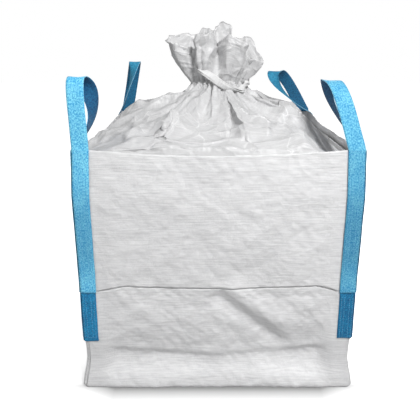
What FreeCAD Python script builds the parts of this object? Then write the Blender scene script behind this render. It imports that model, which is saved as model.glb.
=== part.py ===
import FreeCAD, Part

import math
import os

import Sketcher

# An empty bulk bag (flexible intermediate bulk container), standing on its base on the ground.
# Millimetres. +X right, -Y front, +Z up, origin at the middle of the underside.

DIMENSIONS = {
    # Height of each level of the wall, and half the width of the bag across its outside there.
    "level_ground": 0, "half_ground": 466,
    "level_foot": 14, "half_foot": 470,
    "level_dent": 112, "half_dent": 447,
    "level_swell": 205, "half_swell": 455,
    "level_hollow": 335, "half_hollow": 450,
    "level_crease": 364, "half_crease": 442,
    "level_lip": 388, "half_lip": 455,
    "level_belly": 530, "half_belly": 454,
    "level_shoulder": 700, "half_shoulder": 453,
    "level_rim": 850, "half_rim": 445,
    "rim_sag": 22,
    "fabric_thick": 3,
    # Webbing straps, sewn down each side of each corner.
    "webbing_wide": 52,
    "webbing_thick": 3,
    "strap_end_level": 196,
    "strap_join_level": 364,
    "corner_gap": 1,
    # Threads.
    "thread_thick": 1,
    "thread_wide": 2,
    "strap_row_near": 9,
    "strap_row_far": 41,
    "corner_row_near": 14,
    "corner_row_far": 30,
    "rim_row_level": 795,
    "base_row_level": 40,
    "corner_row_low": 48,
    # Lifting loops.
    "root_free": 50,
    "root_clear": 0.3,
    # Gathered top.
    "neck_level": 1000,
    "neck_radius": 90,
    "neck_depth": 22,
    "neck_cloth": 4,
    "tie_level": 1013.5,
    "tie_turn_gap": 13,
    "tie_thick": 5.5,
    "tie_slack": 0.6,
    "tuft_gap": 0.8,
    "tuft_wall": 7,
}

WALL_LEVELS = ["ground", "foot", "dent", "swell", "hollow", "crease", "lip", "belly", "shoulder", "rim"]

# Every side is drawn as the right one and turned about Z.
SIDE_TURN = {"right": 0, "rear": 90, "left": 180, "front": 270}

# Free part of each lifting loop: which corner, height, lean of its top to the right and to the back,
# how far its second leg bows in over the bag along X and Y, how late along the loop the bow comes,
# and the part of the loop over which the webbing twists from one wall to the next.
LOOPS = {
    "front_left": {"corner": (-1, -1), "height": 209, "lean": (-2, 2),
                   "bow": (54, 60), "late": 4.0, "twist": (0.6, 1.0)},
    "front_right": {"corner": (1, -1), "height": 192, "lean": (-47, 44),
                    "bow": (42, 126), "late": 2.5, "twist": (0.34, 0.96)},
    "rear_left": {"corner": (-1, 1), "height": 228, "lean": (50, -10),
                  "bow": (34, 84), "late": 2.4, "twist": (0.4, 1.0)},
    "rear_right": {"corner": (1, 1), "height": 184, "lean": (-86, 36),
                   "bow": (104, 76), "late": 2.3, "twist": (0.58, 1.0)},
}
LOOP_FULLNESS = 2.2

# Half width, corner radius and height of the gathered skirt, from the rim in to the neck.
SKIRT_LEVELS = [
    (440, 60, 828),
    (439, 70, 848),
    (402, 110, 880),
    (335, 150, 918),
    (215, 150, 970),
    (140, 125, 989),
    (97, 96, 1000),
]

# Height, middle along X, half widths along X and Y and depth of the gathered folds of the tuft.
TUFT_LEVELS = [
    (1056, 4, 96, 92, 0.02),
    (1080, 20, 138, 104, 0.06),
    (1108, 16, 160, 114, 0.10),
    (1136, 2, 174, 120, 0.13),
    (1162, -10, 176, 120, 0.16),
    (1186, -10, 150, 110, 0.18),
    (1210, 6, 108, 92, 0.20),
    (1232, 20, 66, 64, 0.16),
]
TUFT_HOLLOW_FROM = 2
TUFT_FOLDS = 5
RING_POINTS = 30
LOOP_STATIONS = 17

document = FreeCAD.newDocument("BulkBag")
sheet = document.addObject("Spreadsheet::Sheet", "Dims")
for row, (alias, number) in enumerate(DIMENSIONS.items(), start=1):
    sheet.set(f"A{row}", str(number))
    sheet.setAlias(f"A{row}", alias)
document.recompute()


class Size:
    """A length with the formula that works it out from the sheet."""

    def __init__(self, number, formula):
        self.number = number
        self.formula = formula

    def __add__(self, other):
        return Size(self.number + other.number, f"({self.formula} + {other.formula})")

    def __sub__(self, other):
        return Size(self.number - other.number, f"({self.formula} - {other.formula})")

    def __neg__(self):
        return Size(-self.number, f"(-1 * {self.formula})")

    def times(self, factor):
        return Size(self.number * factor, f"({self.formula} * {factor})")


def dim(alias):
    return Size(float(sheet.get(alias)), f"Dims.{alias}")


ZERO = Size(0, "0")
sub_parts = []


def add_sketch(body, name, plane_role, outline, offset=None):
    """Closed sketch through the outline's (across, up) sizes, every corner tied to the sheet."""
    sketch = body.newObject("Sketcher::SketchObject", name)
    plane = [f for f in body.Origin.OriginFeatures if f.Role == plane_role][0]
    sketch.AttachmentSupport = [(plane, "")]
    sketch.MapMode = "FlatFace"
    if offset is not None:
        sketch.setExpression(".AttachmentOffset.Base.z", offset.formula)
    corners = [FreeCAD.Vector(across.number, up.number, 0) for across, up in outline]
    count = len(corners)
    for index, corner in enumerate(corners):
        sketch.addGeometry(Part.LineSegment(corner, corners[(index + 1) % count]))
    for index in range(count):
        sketch.addConstraint(Sketcher.Constraint("Coincident", index, 2, (index + 1) % count, 1))
    for index, (across, up) in enumerate(outline):
        for kind, size in (("DistanceX", across), ("DistanceY", up)):
            number = sketch.addConstraint(Sketcher.Constraint(kind, index, 1, size.number))
            sketch.setExpression(f"Constraints[{number}]", size.formula)
    return sketch


def half_width_at(level):
    """Half the outside width at a level, between the two wall levels that it lies between."""
    for lower, upper in zip(WALL_LEVELS, WALL_LEVELS[1:]):
        low = dim(f"level_{lower}")
        high = dim(f"level_{upper}")
        if low.number <= level.number <= high.number:
            start = dim(f"half_{lower}")
            end = dim(f"half_{upper}")
            part = (level.number - low.number) / (high.number - low.number)
            ratio = f"({level.formula} - {low.formula}) / ({high.formula} - {low.formula})"
            number = start.number + (end.number - start.number) * part
            return Size(number, f"({start.formula} + ({end.formula} - {start.formula}) * {ratio})")
    raise ValueError(f"no wall at {level.number}")


def wall_outline(low, high, inner, outer):
    """Slice of the wall between two levels, from one offset outside its face to another."""
    levels = [low]
    for name in WALL_LEVELS:
        level = dim(f"level_{name}")
        if low.number < level.number < high.number:
            levels.append(level)
    levels.append(high)
    inside = [(half_width_at(level) + inner, level) for level in levels]
    outside = [(half_width_at(level) + outer, level) for level in levels]
    return inside + outside[::-1]


def add_slab(body, name, outline, start, width):
    """Pads a wall outline along the side, from start towards +Y."""
    sketch = add_sketch(body, f"{name}_outline", "XZ_Plane", outline, -(start + width))
    pad = body.newObject("PartDesign::Pad", name)
    pad.Profile = sketch
    pad.setExpression("Length", width.formula)
    return pad


def cut_corner(body, name, end, gap):
    """Cuts a slab to the diagonal plane of the corner at its -Y end (-1) or +Y end (1)."""
    near = dim("half_crease").times(0.7)
    far = dim("half_foot").times(1.2)
    reach = dim("half_foot").times(1.5)
    corners = [(near, near - gap), (far, far - gap), (far, reach), (near, reach)]
    if end < 0:
        corners = [(across, -along) for across, along in corners]
    sketch = add_sketch(body, f"{name}_outline", "XY_Plane", corners)
    pocket = body.newObject("PartDesign::Pocket", name)
    pocket.Profile = sketch
    pocket.Type = "ThroughAll"
    pocket.Midplane = True
    return pocket


def add_body(label, side):
    body = document.addObject("PartDesign::Body", label)
    body.Label = label
    turn = FreeCAD.Rotation(FreeCAD.Vector(0, 0, 1), SIDE_TURN[side])
    body.Placement = FreeCAD.Placement(FreeCAD.Vector(0, 0, 0), turn)
    sub_parts.append(body)
    return body


def add_shape(label, shape):
    feature = document.addObject("Part::Feature", label)
    feature.Label = label
    feature.Shape = shape
    feature.Placement = FreeCAD.Placement()
    sub_parts.append(feature)
    return feature


def make_panel(side):
    """One wall of the bag: a thin bent sheet, cut to its corners, with a sagging rim."""
    body = add_body(f"{side}_panel", side)
    outline = wall_outline(dim("level_ground"), dim("level_rim"), -dim("fabric_thick"), ZERO)
    reach = dim("half_foot").times(1.05)
    add_slab(body, f"{side}_sheet", outline, -reach, reach.times(2))
    for end in (-1, 1):
        cut_corner(body, f"{side}_corner_{'low' if end < 0 else 'high'}", end, ZERO)
    body.Tip = add_rim_sag(body, side)


def add_rim_sag(body, side):
    """Cuts the slack arc of the rim between its two corners."""
    half = DIMENSIONS["half_rim"]
    rim = DIMENSIONS["level_rim"]
    sag = DIMENSIONS["rim_sag"]
    sketch = body.newObject("Sketcher::SketchObject", f"{side}_sag_outline")
    plane = [f for f in body.Origin.OriginFeatures if f.Role == "YZ_Plane"][0]
    sketch.AttachmentSupport = [(plane, "")]
    sketch.MapMode = "FlatFace"
    left = FreeCAD.Vector(-half, rim, 0)
    right = FreeCAD.Vector(half, rim, 0)
    arc = Part.Arc(left, FreeCAD.Vector(0, rim - sag, 0), right)
    sketch.addGeometry(arc)
    sketch.addGeometry(Part.LineSegment(right, left))
    sketch.addConstraint(Sketcher.Constraint("Coincident", 0, 2, 1, 1))
    sketch.addConstraint(Sketcher.Constraint("Coincident", 0, 1, 1, 2))
    chord_ends = [
        ("DistanceX", 1, half, "Dims.half_rim"),
        ("DistanceY", 1, rim, "Dims.level_rim"),
        ("DistanceX", 2, -half, "-1 * Dims.half_rim"),
        ("DistanceY", 2, rim, "Dims.level_rim"),
    ]
    for kind, end, number, formula in chord_ends:
        index = sketch.addConstraint(Sketcher.Constraint(kind, 1, end, number))
        sketch.setExpression(f"Constraints[{index}]", formula)
    radius = (half * half + sag * sag) / (2 * sag)
    index = sketch.addConstraint(Sketcher.Constraint("Radius", 0, radius))
    sketch.setExpression(
        f"Constraints[{index}]",
        "(Dims.half_rim * Dims.half_rim + Dims.rim_sag * Dims.rim_sag) / (2 * Dims.rim_sag)")
    pocket = body.newObject("PartDesign::Pocket", f"{side}_sag")
    pocket.Profile = sketch
    pocket.Type = "ThroughAll"
    pocket.Midplane = True
    return pocket


def make_base():
    body = add_body("base_panel", "right")
    half = dim("half_ground") - dim("fabric_thick")
    corners = [(-half, -half), (half, -half), (half, half), (-half, half)]
    sketch = add_sketch(body, "base_outline", "XY_Plane", corners)
    pad = body.newObject("PartDesign::Pad", "base_sheet")
    pad.Profile = sketch
    pad.setExpression("Length", "Dims.fabric_thick")


def make_strap(label, side, end, low, high):
    """A length of webbing on a wall, its edge along the corner at one end of the side."""
    body = add_body(label, side)
    outline = wall_outline(low, high, ZERO, dim("webbing_thick"))
    inner_edge = dim("half_rim") - dim("webbing_wide")
    width = dim("half_foot").times(1.05) - inner_edge
    start = inner_edge if end > 0 else -(inner_edge + width)
    add_slab(body, f"{label}_web", outline, start, width)
    body.Tip = cut_corner(body, f"{label}_edge", end, dim("corner_gap"))
    return body


def make_thread_rows(label, side, ends, low, high, base, rows):
    """Straight rows of stitching up a wall, each row a given way in from the corners at its ends."""
    body = add_body(label, side)
    outline = wall_outline(low, high, base, base + dim("thread_thick"))
    for end in ends:
        for row in rows:
            start = dim("half_rim") - row
            if end < 0:
                start = -(start + dim("thread_wide"))
            name = f"{label}_row_{len(body.Group) // 2 + 1}"
            body.Tip = add_slab(body, name, outline, start, dim("thread_wide"))
    return body


def make_cross_row(label, side, level, reach):
    """A level row of stitching along a side."""
    body = add_body(label, side)
    high = level + dim("thread_wide")
    outline = wall_outline(level, high, ZERO, dim("thread_thick"))
    body.Tip = add_slab(body, f"{label}_row", outline, -reach, reach.times(2))
    return body


def corner_of(side, end):
    """Name of the corner at the -Y end (-1) or the +Y end (1) of a side before it is turned."""
    names = {
        ("right", -1): "front_right", ("right", 1): "rear_right",
        ("rear", -1): "rear_right", ("rear", 1): "rear_left",
        ("left", -1): "rear_left", ("left", 1): "front_left",
        ("front", -1): "front_left", ("front", 1): "front_right",
    }
    return names[(side, end)]


def ease(value):
    """Smooth step from 0 to 1."""
    value = min(max(value, 0.0), 1.0)
    return value * value * (3 - 2 * value)


def loop_middle(loop, along):
    """Middle of the webbing at a way along the free loop, 0 at one leg and 1 at the other."""
    sign_x, sign_y = loop["corner"]
    on_face = DIMENSIONS["half_rim"] + DIMENSIONS["webbing_thick"] / 2
    inboard = DIMENSIONS["half_rim"] - DIMENSIONS["webbing_wide"] / 2
    first = FreeCAD.Vector(sign_x * inboard, sign_y * on_face, 0)
    second = FreeCAD.Vector(sign_x * on_face, sign_y * inboard, 0)
    rise = 1 - abs(2 * along - 1) ** LOOP_FULLNESS
    place = first + (second - first) * ease(along)
    bow_x, bow_y = loop["bow"]
    swing = max(math.sin(math.pi * along ** loop["late"]), 0.0) ** 0.7
    place -= FreeCAD.Vector(sign_x * bow_x, sign_y * bow_y, 0) * swing
    lean_x, lean_y = loop["lean"]
    place += FreeCAD.Vector(lean_x, lean_y, 0) * rise ** 0.9
    place.z = DIMENSIONS["level_rim"] + (loop["height"] - DIMENSIONS["webbing_thick"]) * rise
    return place


def loop_section(loop, along):
    """Rectangle across the webbing, turned to follow the loop from one wall round to the next."""
    sign_x, sign_y = loop["corner"]
    step = 0.004
    ahead = loop_middle(loop, min(along + step, 1.0))
    behind = loop_middle(loop, max(along - step, 0.0))
    tangent = (ahead - behind).normalize()
    start, end = loop["twist"]
    twist = math.pi / 2 * ease((along - start) / (end - start))
    across = FreeCAD.Vector(sign_x * math.cos(twist), sign_y * math.sin(twist), 0)
    across = (across - tangent * across.dot(tangent)).normalize()
    normal = tangent.cross(across)
    middle = loop_middle(loop, along)
    wide = across * (DIMENSIONS["webbing_wide"] / 2)
    thick = normal * (DIMENSIONS["webbing_thick"] / 2)
    corners = [middle + wide + thick, middle - wide + thick, middle - wide - thick, middle + wide - thick]
    return Part.makePolygon(corners + corners[:1])


def along_at_rise(loop, rise):
    """Way along the loop at which its first leg has risen a given height over the rim."""
    height = loop["height"] - DIMENSIONS["webbing_thick"]
    return (1 - (1 - rise / height) ** (1 / LOOP_FULLNESS)) / 2


def make_loop(name):
    """The free loop, and the two short bends that join it to the straps on the walls."""
    loop = LOOPS[name]
    start = along_at_rise(loop, DIMENSIONS["root_free"])
    stations = [start + (1 - 2 * start) * index / (LOOP_STATIONS - 1) for index in range(LOOP_STATIONS)]
    add_shape(f"lifting_loop_{name}", Part.makeLoft([loop_section(loop, at) for at in stations], True, True))
    first = [loop_section(loop, start * part) for part in (0, 0.5, 1)]
    second = [loop_section(loop, 1 - start * part) for part in (0, 0.5, 1)]
    reach = 2 * DIMENSIONS["half_foot"]
    floor = DIMENSIONS["level_rim"] + DIMENSIONS["root_clear"]
    over_rim = Part.makeBox(reach, reach, reach, FreeCAD.Vector(-reach / 2, -reach / 2, floor))
    bends = [Part.makeLoft(sections, True, True).common(over_rim) for sections in (first, second)]
    add_shape(f"loop_bend_{name}", Part.makeCompound(bends))


def rounded_square(half, radius, level):
    """Closed outline of a square with rounded corners at a level."""
    flat = half - radius
    edges = []
    for quarter in range(4):
        turn = FreeCAD.Rotation(FreeCAD.Vector(0, 0, 1), 90 * quarter)
        start = FreeCAD.Vector(half, -flat, level)
        end = FreeCAD.Vector(half, flat, level)
        bend = FreeCAD.Vector(flat + radius * math.sqrt(0.5), flat + radius * math.sqrt(0.5), level)
        finish = FreeCAD.Vector(flat, half, level)
        edges.append(Part.LineSegment(turn.multVec(start), turn.multVec(end)).toShape())
        edges.append(Part.Arc(turn.multVec(end), turn.multVec(bend), turn.multVec(finish)).toShape())
    return Part.Wire(edges)


def make_skirt():
    """Thin mound of cloth from the rim in to the neck, open below and at the neck."""
    thick = DIMENSIONS["fabric_thick"]
    outer = [rounded_square(half, radius, level) for half, radius, level in SKIRT_LEVELS]
    last = len(SKIRT_LEVELS) - 1
    inner = [rounded_square(half - thick, radius - thick, level - (thick if 0 < index < last else 0))
             for index, (half, radius, level) in enumerate(SKIRT_LEVELS)]
    shell = Part.makeLoft(outer, True, True).cut(Part.makeLoft(inner, True, True))
    add_shape("top_skirt", shell)


def make_neck():
    """Gathered neck: a thin domed drum of cloth that the tuft rocks on."""
    ball = document.addObject("Part::Sphere", "neck_ball")
    ball.setExpression("Radius", "Dims.neck_radius")
    ball.setExpression(".Placement.Base.z", "Dims.neck_level")
    hollow = document.addObject("Part::Sphere", "neck_hollow")
    hollow.setExpression("Radius", "Dims.neck_radius - Dims.neck_cloth")
    hollow.setExpression(".Placement.Base.z", "Dims.neck_level")
    drum = document.addObject("Part::Cylinder", "neck_drum")
    drum.setExpression("Radius", "Dims.neck_radius * 1.5")
    drum.setExpression("Height", "Dims.neck_radius * 2")
    drum.setExpression(".Placement.Base.z", "Dims.neck_level - Dims.neck_depth")
    dome = document.addObject("Part::Common", "neck_dome")
    dome.Base = ball
    dome.Tool = drum
    neck = document.addObject("Part::Cut", "skirt_neck")
    neck.Label = "skirt_neck"
    neck.Base = dome
    neck.Tool = hollow
    sub_parts.append(neck)


def make_tie():
    """White tape wound twice round the neck."""
    turns = []
    for index in (0, 1):
        turn = document.addObject("Part::Torus", f"tie_turn_{index + 1}")
        turn.setExpression("Radius1", "Dims.neck_radius + Dims.tie_thick + Dims.tie_slack")
        turn.setExpression("Radius2", "Dims.tie_thick")
        turn.setExpression(".Placement.Base.z", f"Dims.tie_level + Dims.tie_turn_gap * ({index} - 0.5)")
        turns.append(turn)
    tape = document.addObject("Part::Compound", "tie_tape")
    tape.Label = "tie_tape"
    tape.Links = turns
    sub_parts.append(tape)


def folded_ring(middle, half_x, half_y, depth, level):
    """Closed outline of gathered cloth: an oval with folds running round it."""
    points = []
    for index in range(RING_POINTS):
        angle = 2 * math.pi * index / RING_POINTS
        fold = 1 - depth * (0.5 - 0.5 * math.cos(TUFT_FOLDS * angle + 0.6))
        across = middle + half_x * fold * math.cos(angle)
        along = half_y * fold * math.sin(angle)
        points.append(FreeCAD.Vector(across, along, level))
    curve = Part.BSplineCurve()
    curve.interpolate(Points=points, PeriodicFlag=True)
    return Part.Wire([curve.toShape()])


def make_tuft():
    """Gathered end of the skirt over the tie: an open bunch, cut out below to sit on the domed neck."""
    wall = DIMENSIONS["tuft_wall"]
    outer = []
    inner = []
    for index, (level, middle, half_x, half_y, depth) in enumerate(TUFT_LEVELS):
        outer.append(folded_ring(middle, half_x, half_y, depth, level))
        if index >= TUFT_HOLLOW_FROM:
            inner.append(folded_ring(middle, half_x - wall, half_y - wall, depth, level))
    bunch = Part.makeLoft(outer, True, True).cut(Part.makeLoft(inner, True, True))
    seat = FreeCAD.Vector(0, 0, DIMENSIONS["neck_level"])
    ball = Part.makeSphere(DIMENSIONS["neck_radius"] + DIMENSIONS["tuft_gap"], seat)
    add_shape("skirt_tuft", bunch.cut(ball))


def check_document():
    """Stops if any object failed or any sub-part has no sound solid."""
    for item in document.Objects:
        if "Invalid" in item.State or "Error" in item.State:
            raise RuntimeError(f"{item.Label} failed: {item.State}")
    for item in sub_parts:
        shape = item.Shape
        if shape.isNull() or not shape.isValid() or not shape.Solids:
            raise RuntimeError(f"{item.Label} is not a sound solid")


make_base()
thread_base = dim("webbing_thick")
strap_rows = [dim("strap_row_near"), dim("strap_row_far")]
corner_rows = [dim("corner_row_near"), dim("corner_row_far")]
for side in SIDE_TURN:
    make_panel(side)
    make_cross_row(f"rim_stitching_{side}", side, dim("rim_row_level"), dim("half_rim") - dim("webbing_wide"))
    make_cross_row(f"base_stitching_{side}", side, dim("base_row_level"), dim("half_rim"))
    make_thread_rows(f"corner_stitching_{side}", side, (-1, 1), dim("corner_row_low"),
                     dim("strap_end_level"), ZERO, corner_rows)
    for end in (-1, 1):
        corner = corner_of(side, end)
        make_strap(f"{side}_strap_{corner}", side, end, dim("strap_join_level"), dim("level_rim"))
        make_strap(f"{side}_strap_end_{corner}", side, end, dim("strap_end_level"), dim("strap_join_level"))
        make_thread_rows(f"{side}_strap_stitching_{corner}", side, (end,), dim("strap_end_level"),
                         dim("level_rim"), thread_base, strap_rows)
for name in LOOPS:
    make_loop(name)
make_skirt()
make_neck()
make_tie()
make_tuft()
document.recompute()
check_document()
os.makedirs("parts", exist_ok=True)
for item in sub_parts:
    item.Shape.exportStep(f"parts/{item.Label}.step")
    box = item.Shape.BoundBox
    print(f"{item.Label}: {item.Shape.Volume / 1000:.1f} cm3, z {box.ZMin:.1f} to {box.ZMax:.1f}")
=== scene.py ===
import math

import bmesh
import bpy
import numpy as np
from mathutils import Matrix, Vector
from mathutils.kdtree import KDTree


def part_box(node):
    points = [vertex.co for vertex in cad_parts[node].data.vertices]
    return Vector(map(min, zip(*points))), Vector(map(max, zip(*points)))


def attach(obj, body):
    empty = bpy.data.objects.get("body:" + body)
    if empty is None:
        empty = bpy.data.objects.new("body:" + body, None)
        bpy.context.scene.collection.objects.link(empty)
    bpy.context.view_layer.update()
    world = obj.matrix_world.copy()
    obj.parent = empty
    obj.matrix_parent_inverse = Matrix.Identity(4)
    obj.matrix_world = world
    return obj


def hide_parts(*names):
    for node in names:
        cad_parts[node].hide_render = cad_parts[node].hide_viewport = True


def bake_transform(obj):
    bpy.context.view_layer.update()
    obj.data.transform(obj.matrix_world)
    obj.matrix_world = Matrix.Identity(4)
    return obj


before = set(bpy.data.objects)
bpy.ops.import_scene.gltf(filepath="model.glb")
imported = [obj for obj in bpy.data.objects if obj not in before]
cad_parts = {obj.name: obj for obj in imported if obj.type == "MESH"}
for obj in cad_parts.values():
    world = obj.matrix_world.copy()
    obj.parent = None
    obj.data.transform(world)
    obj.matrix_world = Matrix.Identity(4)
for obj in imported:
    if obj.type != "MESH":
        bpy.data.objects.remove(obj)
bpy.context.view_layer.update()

# ---------------------------------------------------------------- sizes

# Heights of the rim, of the lower end of the light webbing and of the lower end of the dark webbing.
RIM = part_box("front_panel")[1][2]
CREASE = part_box("front_strap_front_left")[0][2]
STRAP_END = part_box("front_strap_end_front_left")[0][2]
HALF_RIM = 0.445
STRAP_WIDE = 0.052
STRAP_THICK = 0.003
# The middle of the webbing lies this far out from the walls, and this far in from the corner.
STRAP_OUT = 0.0032
INBOARD = STRAP_WIDE / 2 + 0.0006
DARK_WIDE = 0.049
DARK_OUT = 0.0012
DARK_LONGER_ON_LEFT = 0.012
HEM_DEEP = 0.052
HEM_THICK = 0.0006
WALL_THICK = 0.0016
SKIRT_THICK = 0.0012

# Half width of the bag at its corners against height, from the flared foot up to the rim.
WALL = [
    (0.000, 0.4690), (0.010, 0.4740), (0.040, 0.4700), (0.075, 0.4620), (0.112, 0.4570), (0.150, 0.4570),
    (0.200, 0.4590), (0.300, 0.4575), (0.364, 0.4560), (0.430, 0.4545), (0.530, 0.4540), (0.700, 0.4530),
    (0.850, 0.4450),
]
# How far a wall stands out at the storage crease, against height: lip, narrow groove and the wall below.
CREASE_SHAPE = [
    (0.240, 0.0000), (0.300, -0.0055), (0.335, -0.0065), (0.362, -0.0030), (0.3660, -0.0075),
    (0.3690, -0.0010), (0.3730, 0.0022), (0.3800, 0.0020), (0.4050, 0.0000),
]
# Height of the storage crease over its ends at the straps, along the front wall.
CREASE_RISE = [
    (-0.400, 0.000), (-0.320, 0.019), (-0.295, 0.022), (-0.240, 0.018), (-0.030, 0.013), (0.105, 0.015),
    (0.260, 0.020), (0.318, 0.025), (0.345, 0.019), (0.400, 0.000),
]
RIM_SAG = 0.022
CORNER_ROUND = 0.016


# ---------------------------------------------------------------- small helpers

def smooth(value):
    """Soft step from 0 to 1."""
    value = np.clip(value, 0.0, 1.0)
    return value * value * (3 - 2 * value)


def bump_at(value, middle, width):
    """Bell of height 1 at middle."""
    return np.exp(-((value - middle) / width) ** 2)


def triangle(value):
    """Triangle wave from 0 to 1 with period 1."""
    return np.abs((value % 1.0) - 0.5) * 2


def crumple(x, y, size, seed, layers):
    """Height field of creased cloth, about -0.5 to 0.5: bent triangle waves across random directions."""
    draw = np.random.default_rng(seed)
    total = np.zeros_like(x)
    weight = 0.0
    px = x.copy()
    py = y.copy()
    for layer in range(layers):
        scale = size * 0.68 ** layer
        for _ in range(2):
            turn = draw.uniform(0, math.pi)
            shift = draw.uniform(0, 10, 4)
            bend = 0.22 * scale
            qx = px + bend * np.sin(py / scale * 1.9 + shift[0])
            qy = py + bend * np.sin(px / scale * 2.3 + shift[1])
            wave = triangle((qx * math.cos(turn) + qy * math.sin(turn)) / (2 * scale) + shift[2])
            level = wave if layer % 2 == 0 else np.abs(wave - 0.5) * 1.6
            strength = 0.72 ** layer
            total += (level - 0.5) * strength
            weight += strength
    return total / weight * 1.8


def creases(x, y, size, seed):
    """Height field of crumpled film, 0 to about 1: flat-sided lumps parted by sharp valleys."""
    draw = np.random.default_rng(seed)
    low = np.array([x.min(), y.min()]) - size
    high = np.array([x.max(), y.max()]) + size
    count = int(np.prod((high - low) / size)) + 4
    seeds = draw.uniform(low, high, (count, 2))
    tree = KDTree(count)
    for index, (seed_x, seed_y) in enumerate(seeds):
        tree.insert((seed_x, seed_y, 0), index)
    tree.balance()
    bend_x = x + 0.25 * size * np.sin(y / size * 2.1 + seed)
    bend_y = y + 0.25 * size * np.sin(x / size * 1.7 + seed * 2)
    height = np.empty(x.size)
    for index, place in enumerate(zip(bend_x.ravel(), bend_y.ravel())):
        nearest = tree.find_n((*place, 0), 2)
        height[index] = nearest[1][2] - nearest[0][2]
    return (height / size).reshape(x.shape)


def make_object(name, points, faces, uvs=None, face_slots=None, materials=(), smooth_shading=True):
    """Object from points and faces, with the cloth's own coordinates and a material slot for each face."""
    mesh = bpy.data.meshes.new(name)
    mesh.from_pydata([tuple(p) for p in points], [], [tuple(f) for f in faces])
    for material in materials:
        mesh.materials.append(material)
    if uvs is not None:
        layer = mesh.uv_layers.new(name="cloth")
        loops = np.empty(len(mesh.loops), int)
        mesh.loops.foreach_get("vertex_index", loops)
        layer.data.foreach_set("uv", np.asarray(uvs, float)[loops].ravel())
    if face_slots is not None:
        mesh.polygons.foreach_set("material_index", np.asarray(face_slots, int))
    if smooth_shading:
        mesh.polygons.foreach_set("use_smooth", np.ones(len(mesh.polygons), bool))
    mesh.update()
    item = bpy.data.objects.new(name, mesh)
    bpy.context.scene.collection.objects.link(item)
    return item


def grid_faces(rows, columns, closed=False):
    """Quads of a grid of points stored row by row."""
    faces = []
    last = columns if closed else columns - 1
    for row in range(rows - 1):
        for column in range(last):
            after = (column + 1) % columns
            faces.append((row * columns + column, row * columns + after,
                          (row + 1) * columns + after, (row + 1) * columns + column))
    return faces


def solidify(item, thickness, offset):
    """Give cloth its thickness, outward from its surface at offset 1 and to both sides at 0."""
    modifier = item.modifiers.new("cloth_thickness", "SOLIDIFY")
    modifier.thickness = thickness
    modifier.offset = offset
    modifier.use_even_offset = False


# ---------------------------------------------------------------- materials

class Nodes:
    """Shorthand for one material's node tree."""

    def __init__(self, name):
        self.material = bpy.data.materials.new(name)
        self.material.use_nodes = True
        self.tree = self.material.node_tree
        self.tree.nodes.clear()
        self.output = self.tree.nodes.new("ShaderNodeOutputMaterial")
        self.shader = self.tree.nodes.new("ShaderNodeBsdfPrincipled")
        self.link(self.shader.outputs[0], self.output.inputs["Surface"])

    def link(self, source, target):
        self.tree.links.new(source, target)

    def add(self, kind, **inputs):
        node = self.tree.nodes.new(kind)
        for key, value in inputs.items():
            if hasattr(value, "is_output"):
                self.link(value, node.inputs[key])
            else:
                node.inputs[key].default_value = value
        return node

    def uv(self, scale=(1, 1, 1), turn=0.0):
        source = self.tree.nodes.new("ShaderNodeUVMap")
        source.uv_map = "cloth"
        mapping = self.tree.nodes.new("ShaderNodeMapping")
        mapping.inputs["Scale"].default_value = scale
        mapping.inputs["Rotation"].default_value = (0, 0, turn)
        self.link(source.outputs[0], mapping.inputs["Vector"])
        return mapping.outputs[0]

    def place(self, scale=(1, 1, 1)):
        source = self.tree.nodes.new("ShaderNodeTexCoord")
        mapping = self.tree.nodes.new("ShaderNodeMapping")
        mapping.inputs["Scale"].default_value = scale
        self.link(source.outputs["Object"], mapping.inputs["Vector"])
        return mapping.outputs[0]

    def noise(self, vector, scale, detail=3.0, roughness=0.55):
        node = self.add("ShaderNodeTexNoise", Scale=scale, Detail=detail, Roughness=roughness)
        self.link(vector, node.inputs["Vector"])
        return node.outputs[0]

    def math(self, kind, first, second=0.0):
        node = self.tree.nodes.new("ShaderNodeMath")
        node.operation = kind
        for socket, value in zip(node.inputs, (first, second)):
            if hasattr(value, "is_output"):
                self.link(value, socket)
            else:
                socket.default_value = value
        return node.outputs[0]

    def ramp(self, factor, stops):
        node = self.tree.nodes.new("ShaderNodeValToRGB")
        elements = node.color_ramp.elements
        while len(elements) < len(stops):
            elements.new(0.5)
        for element, (place, colour) in zip(elements, stops):
            element.position = place
            element.color = (*colour, 1)
        self.link(factor, node.inputs[0])
        return node.outputs[0]

    def mix(self, factor, first, second, kind="MIX"):
        node = self.tree.nodes.new("ShaderNodeMix")
        node.data_type = "RGBA"
        node.blend_type = kind
        for socket, value in ((node.inputs[0], factor), (node.inputs[6], first), (node.inputs[7], second)):
            if hasattr(value, "is_output"):
                self.link(value, socket)
            elif isinstance(value, tuple):
                socket.default_value = (*value, 1)
            else:
                socket.default_value = value
        return node.outputs[2]

    def bump(self, height, distance, strength=1.0, normal=None):
        node = self.add("ShaderNodeBump", Strength=strength, Distance=distance)
        self.link(height, node.inputs["Height"])
        if normal is not None:
            self.link(normal, node.inputs["Normal"])
        return node.outputs[0]


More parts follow.
